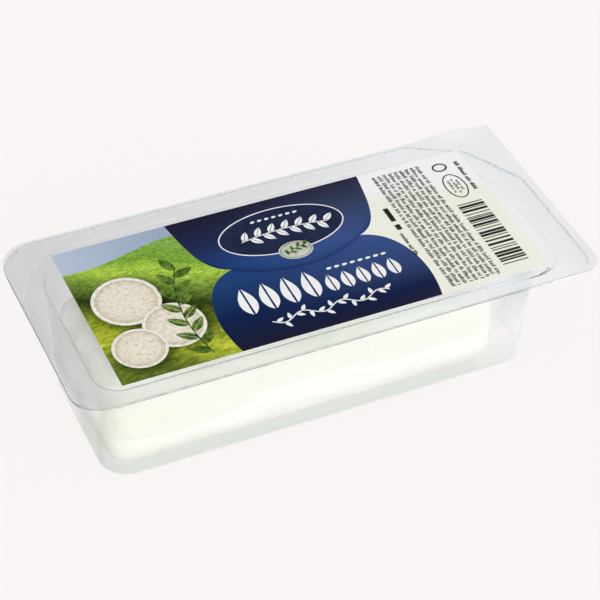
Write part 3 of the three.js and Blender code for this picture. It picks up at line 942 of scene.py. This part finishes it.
def add_print(name, bands, z, material):
    """A piece of ink made of groups of bands, all at one height on the film."""
    points, faces, used = [], [], 0
    for paths, widths in bands:
        strip = strip_surface(paths, widths, z)
        faces.append(strip_faces(*strip.shape[:2]) + used)
        points.append(strip.reshape(-1, 3))
        used += len(points[-1])
    points, faces = np.concatenate(points), np.concatenate(faces).tolist()
    piece = add_piece(name, points, faces, material, smooth=False)
    give_thickness(piece, PRINT_DEPTH, offset=-1.0)


def leaves(base, tip, width, gap=0.0, count=14):
    """Leaves from base to tip, each as two bands with a gap for the rib between them. A
    half's width follows a power of the sine of a power of the way along the leaf."""
    way = np.linspace(0, 1, count)
    along = tip - base
    length = np.linalg.norm(along, axis=1, keepdims=True)
    across = np.stack([-along[:, 1], along[:, 0]], axis=1) / length
    middle = base[:, None] + along[:, None] * way[:, None]
    swell = np.sin(math.pi * way ** LEAF_PLACE_POWER) ** LEAF_WIDTH_POWER
    half = np.maximum(width / 2 * swell - gap / 2, LEAST_WIDTH)
    half = np.broadcast_to(half, (len(base), count))
    aside = across[:, None] * (gap / 2 + half / 2)[..., None]
    return np.concatenate([middle + aside, middle - aside]), np.concatenate([half, half])


def sprig(stem, count, length, width, lean, gap=0.0):
    """Leaves on a stem, to its two sides in turn. Each leans by one angle from the stem's
    direction where it grows."""
    place = np.linspace(*SPRIG_ENDS, count) * (len(stem) - 1)
    order = np.arange(len(stem))
    base = np.stack([np.interp(place, order, stem[:, axis]) for axis in (0, 1)], axis=1)
    ahead = np.gradient(stem, axis=0)
    turn = np.interp(place, order, np.arctan2(ahead[:, 1], ahead[:, 0]))
    turn = turn + np.where(np.arange(count) % 2 == 0, lean, -lean)
    tip = base + length * np.stack([np.cos(turn), np.sin(turn)], axis=1)
    return leaves(base, tip, width, gap)


def line(stem, width):
    """One band of even width along a path."""
    return stem[None], np.full((1, len(stem)), width)


def arc_path(start, end, bulge, count=24):
    """A path from start to end that bows to its left by the bulge, as a parabola does."""
    way = np.linspace(0, 1, count)[:, None]
    start, end = np.array(start, dtype=float), np.array(end, dtype=float)
    along = end - start
    left = np.array([-along[1], along[0]]) / np.linalg.norm(along)
    return start + along * way + left * bulge * 4 * way * (1 - way)


herb = mottled_ink("herb_ink", dark=(0.03, 0.075, 0.012), light=(0.16, 0.26, 0.04), size=1.5)
herb_stem = arc_path(start=(-32, -23), end=(-29.5, 8), bulge=3)
herb_bands = [
    line(herb_stem, width=0.35),
    sprig(herb_stem, count=13, length=5.6, width=2.4, lean=math.radians(48), gap=0.12),
]
add_print("printed_herb", herb_bands, PRINT_Z + LAYER_STEP * 3, herb)

# Plaque
# An oval badge on the upper part of the blue field: navy with a thin white outline, a
# white leaf garland in it, and a small pale oval with a sprig under it.
PLAQUE_PLACE = (0, 11.2)
PLAQUE_HALVES = (16.3, 8.2)
BADGE_PLACE = (0.2, 2.9)
BADGE_HALVES = (4.4, 3.2)
BADGE_LINE_HALVES = (3.9, 2.75)
PLAQUE_LEAF = np.array([1.3, 0.25])


def oval_path(centre, halves, count=73):
    """A closed path round an ellipse: its halves times the turn's cosine and sine."""
    turn = np.linspace(0, 2 * math.pi, count)
    x = centre[0] + halves[0] * np.cos(turn)
    return np.stack([x, centre[1] + halves[1] * np.sin(turn)], axis=1)


def even_row(left, right, count, y):
    """Places at one Y, spaced evenly between two X places."""
    return np.stack([np.linspace(left, right, count), np.full(count, y)], axis=1)


white = mottled_ink("white_ink", dark=(0.86, 0.86, 0.86), light=(0.93, 0.93, 0.93), size=2)
navy = mottled_ink("navy_ink", dark=(0.014, 0.02, 0.055), light=(0.02, 0.028, 0.07), size=3)
pale = mottled_ink("badge_ink", dark=(0.5, 0.52, 0.45), light=(0.62, 0.64, 0.58), size=1.5)
add_disc("plaque_ground", PLAQUE_PLACE, PLAQUE_HALVES, PRINT_Z, navy)
garland_stem = arc_path(start=(-11, 10.2), end=(12, 10.2), bulge=1.2)
small_row = even_row(left=-6.2, right=5.2, count=7, y=16.2)
garland = [
    line(oval_path(PLAQUE_PLACE, PLAQUE_HALVES), width=0.32),
    line(garland_stem, width=0.3),
    sprig(garland_stem, count=13, length=3.6, width=1.7, lean=math.radians(52), gap=0.14),
    leaves(small_row, small_row + PLAQUE_LEAF, width=0.75),
]
add_print("plaque_garland", garland, PRINT_Z + LAYER_STEP, white)
add_disc("badge_ground", BADGE_PLACE, BADGE_HALVES, PRINT_Z + 2 * LAYER_STEP, pale)
badge_stem = arc_path(start=(-2.2, 1.8), end=(3.0, 4.0), bulge=0.6)
badge_lines = [
    line(badge_stem, width=0.22),
    sprig(badge_stem, count=7, length=1.9, width=0.9, lean=math.radians(50)),
    line(oval_path(BADGE_PLACE, BADGE_LINE_HALVES), width=0.16),
]
add_print("badge_sprig", badge_lines, PRINT_Z + 3 * LAYER_STEP, herb)

# Leaf frieze
# White upright leaves across the dome, tall at the left and shorter at the right, with a
# row of small leaves over the short ones and a leafy vine under them.
VINE_Y = -18.7
VINE_SWING = 1.1
VINE_TURN = 0.62
FRIEZE_LEAF = np.array([1.5, 0.2])


def upright_leaves(left, right, count, foot, top, width, gap):
    """A row of upright leaves, from their feet to their tops."""
    base = even_row(left, right, count, foot)
    return leaves(base, even_row(left, right, count, top), width, gap)


small_row = even_row(left=4, right=18.6, count=8, y=-6.4)
vine_x = np.linspace(-15.5, 15, 90)
vine = np.stack([vine_x, VINE_Y + VINE_SWING * np.sin(vine_x * VINE_TURN)], axis=1)
frieze = [
    upright_leaves(left=-18.2, right=-1.8, count=4, foot=-14.6, top=-5.2, width=4.4, gap=0.5),
    upright_leaves(left=3.2, right=19.6, count=5, foot=-14.3, top=-8.3, width=3.2, gap=0.4),
    leaves(small_row, small_row + FRIEZE_LEAF, width=0.8),
    line(vine, width=0.32),
    sprig(vine, count=17, length=2.3, width=1.0, lean=math.radians(58)),
]
add_print("leaf_frieze", frieze, PRINT_Z, white)

# Small print
# Almost black marks on the pale panel: nine lines of short strokes, two bold dashes, an
# oval and a ring in outline, and a block of bars of uneven width.
LINE_PLACES = np.linspace(29.9, 42.2, 9)
LINE_ENDS = (20.8, -23.6)
OVAL_PLACE = (47.9, 10.3)
OVAL_HALVES = (2.7, 4.7)
RING_PLACE = (47.4, 18.4)
RING_HALVES = (1.8, 1.4)
SHORT_LINES = [  # X, start, end, height and width of each
    (26.8, -1.4, -9.8, 1.0, 0.28), (52.3, 19.0, 7.4, 1.1, 0.3), (46.9, 12.6, 7.8, 0.75, 0.22),
    (48.1, 13.0, 7.4, 0.75, 0.22), (49.2, 12.2, 8.2, 0.75, 0.22)]
STROKE_PITCH = 0.46
STROKE_GROUPS = (3, 11)
STROKE_HEIGHTS = [0.7, 0.7, 1.0]
STROKE_WIDTHS = (0.8, 1.3)
MODULE = 0.264
BAR_MODULES = [1, 1, 2, 3, 4]
MOST_BARS = 60
WIDEST_GAP = 3


def crosswise(left, right, y, widths):
    """Straight bands along X, one at each Y, all from left to right."""
    ends = np.stack([left + 0 * y, y, right + 0 * y, y], axis=1).reshape(-1, 2, 2)
    return ends, np.broadcast_to(widths[:, None], (len(y), 2))


def stroke_line(seed, x, start, end, height, width):
    """A line of short strokes along -Y, each across the line, in groups of two to nine
    with a gap after each group. Heights and widths vary."""
    chance = np.random.default_rng(seed)
    y = np.arange(start, end, -STROKE_PITCH)
    last = np.cumsum(chance.integers(*STROKE_GROUPS, len(y))) - 1
    y = np.delete(y, last[last < len(y)])
    foot = x - height / 2
    tall = height * chance.choice(STROKE_HEIGHTS, len(y))
    return crosswise(foot, foot + tall, y, width * chance.uniform(*STROKE_WIDTHS, len(y)))


def bars(seed, left, right, start, end):
    """Bars across a block, one to four modules wide, with gaps of one to three."""
    chance = np.random.default_rng(seed)
    steps = chance.choice(BAR_MODULES, (MOST_BARS, 2)) * MODULE
    steps[:, 1] = np.minimum(steps[:, 1], WIDEST_GAP * MODULE)
    near = start - np.cumsum(steps.sum(axis=1))
    near = near[near > end]
    width = steps[:len(near), 0]
    return crosswise(left, right, near + width / 2, width)


black = mottled_ink("black_ink", dark=(0.012, 0.012, 0.011), light=(0.03, 0.029, 0.026), size=2)
marks = [stroke_line(seed, x, *LINE_ENDS, height=1.08, width=0.235)
         for seed, x in enumerate(LINE_PLACES)]
marks += [stroke_line(seed, *row) for seed, row in enumerate(SHORT_LINES, start=20)]
marks += [
    line(np.array([[27.2, 8.8], [27.2, 3.6]]), width=1.3),
    line(np.array([[27.2, 2.2], [27.2, 0.2]]), width=1.3),
    line(oval_path(OVAL_PLACE, OVAL_HALVES), width=0.3),
    line(oval_path(RING_PLACE, RING_HALVES), width=0.42),
    bars(seed=30, left=44.5, right=51.5, start=3.4, end=-21.9),
]
add_print("small_print", marks, PRINT_Z, black)

# Seal line
# The curved line over the far left corner where the film's seal on the flange ends. The
# welded plastic is a little paler and more matt there.
WELD_Z = FILM_Z + FILM_SHEET + 2 * PRINT_DEPTH
weld = mottled_ink("weld_line", dark=(0.655, 0.67, 0.68), light=(0.735, 0.75, 0.76), size=4)
weld_path = arc_path(start=(-66.9, 10.2), end=(-48.2, 28.6), bulge=2.6)
add_print("seal_line", [line(weld_path, width=0.4)], WELD_Z, weld)
